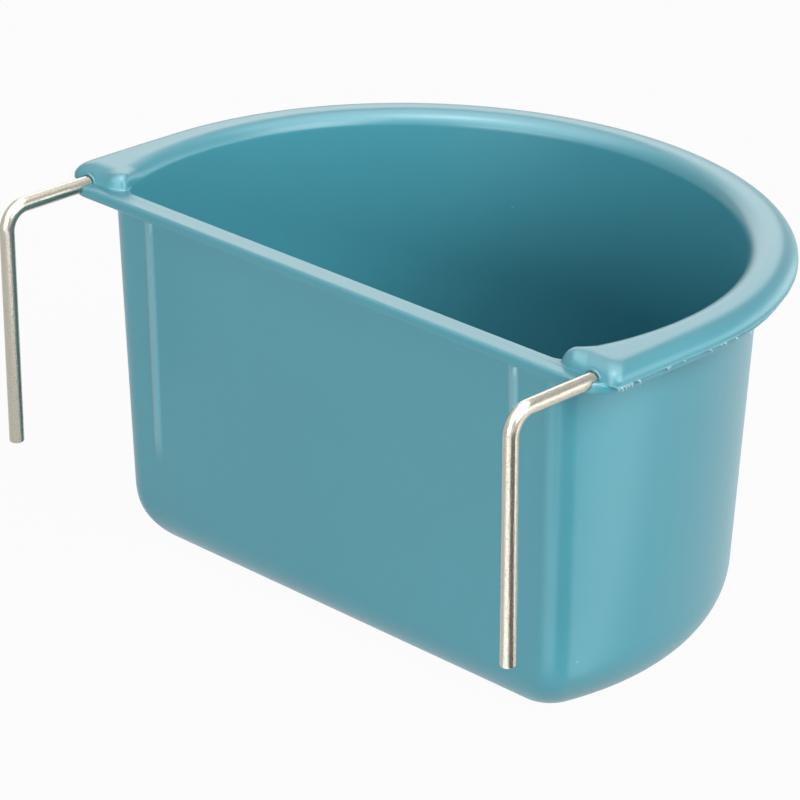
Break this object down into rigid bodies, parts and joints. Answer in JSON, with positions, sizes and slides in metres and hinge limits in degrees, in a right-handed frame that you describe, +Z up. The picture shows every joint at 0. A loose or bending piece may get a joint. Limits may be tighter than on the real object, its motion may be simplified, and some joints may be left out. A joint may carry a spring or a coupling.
{
  "type": "hook-on seed cup",
  "caption": "D-shaped plastic seed cup with a flat front, a rounded rim bead and a bent wire hanger whose legs hook over a cage bar.",
  "frame": {"origin": "on the axis of the cup's round wall, at its flat underside", "axes": "+X along the flat front to the viewer's right, -Y out of the flat front towards the hooks, +Z up"},
  "size_m": [0.1442, 0.1215, 0.0785],
  "materials": {
    "cup_plastic": "satin moulded teal polypropylene",
    "hanger_wire": "nickel-plated drawn wire"
  },
  "bodies": {
    "root": {"cup": "cup_plastic", "wire_hanger": "hanger_wire"}
  },
  "joints": []
}
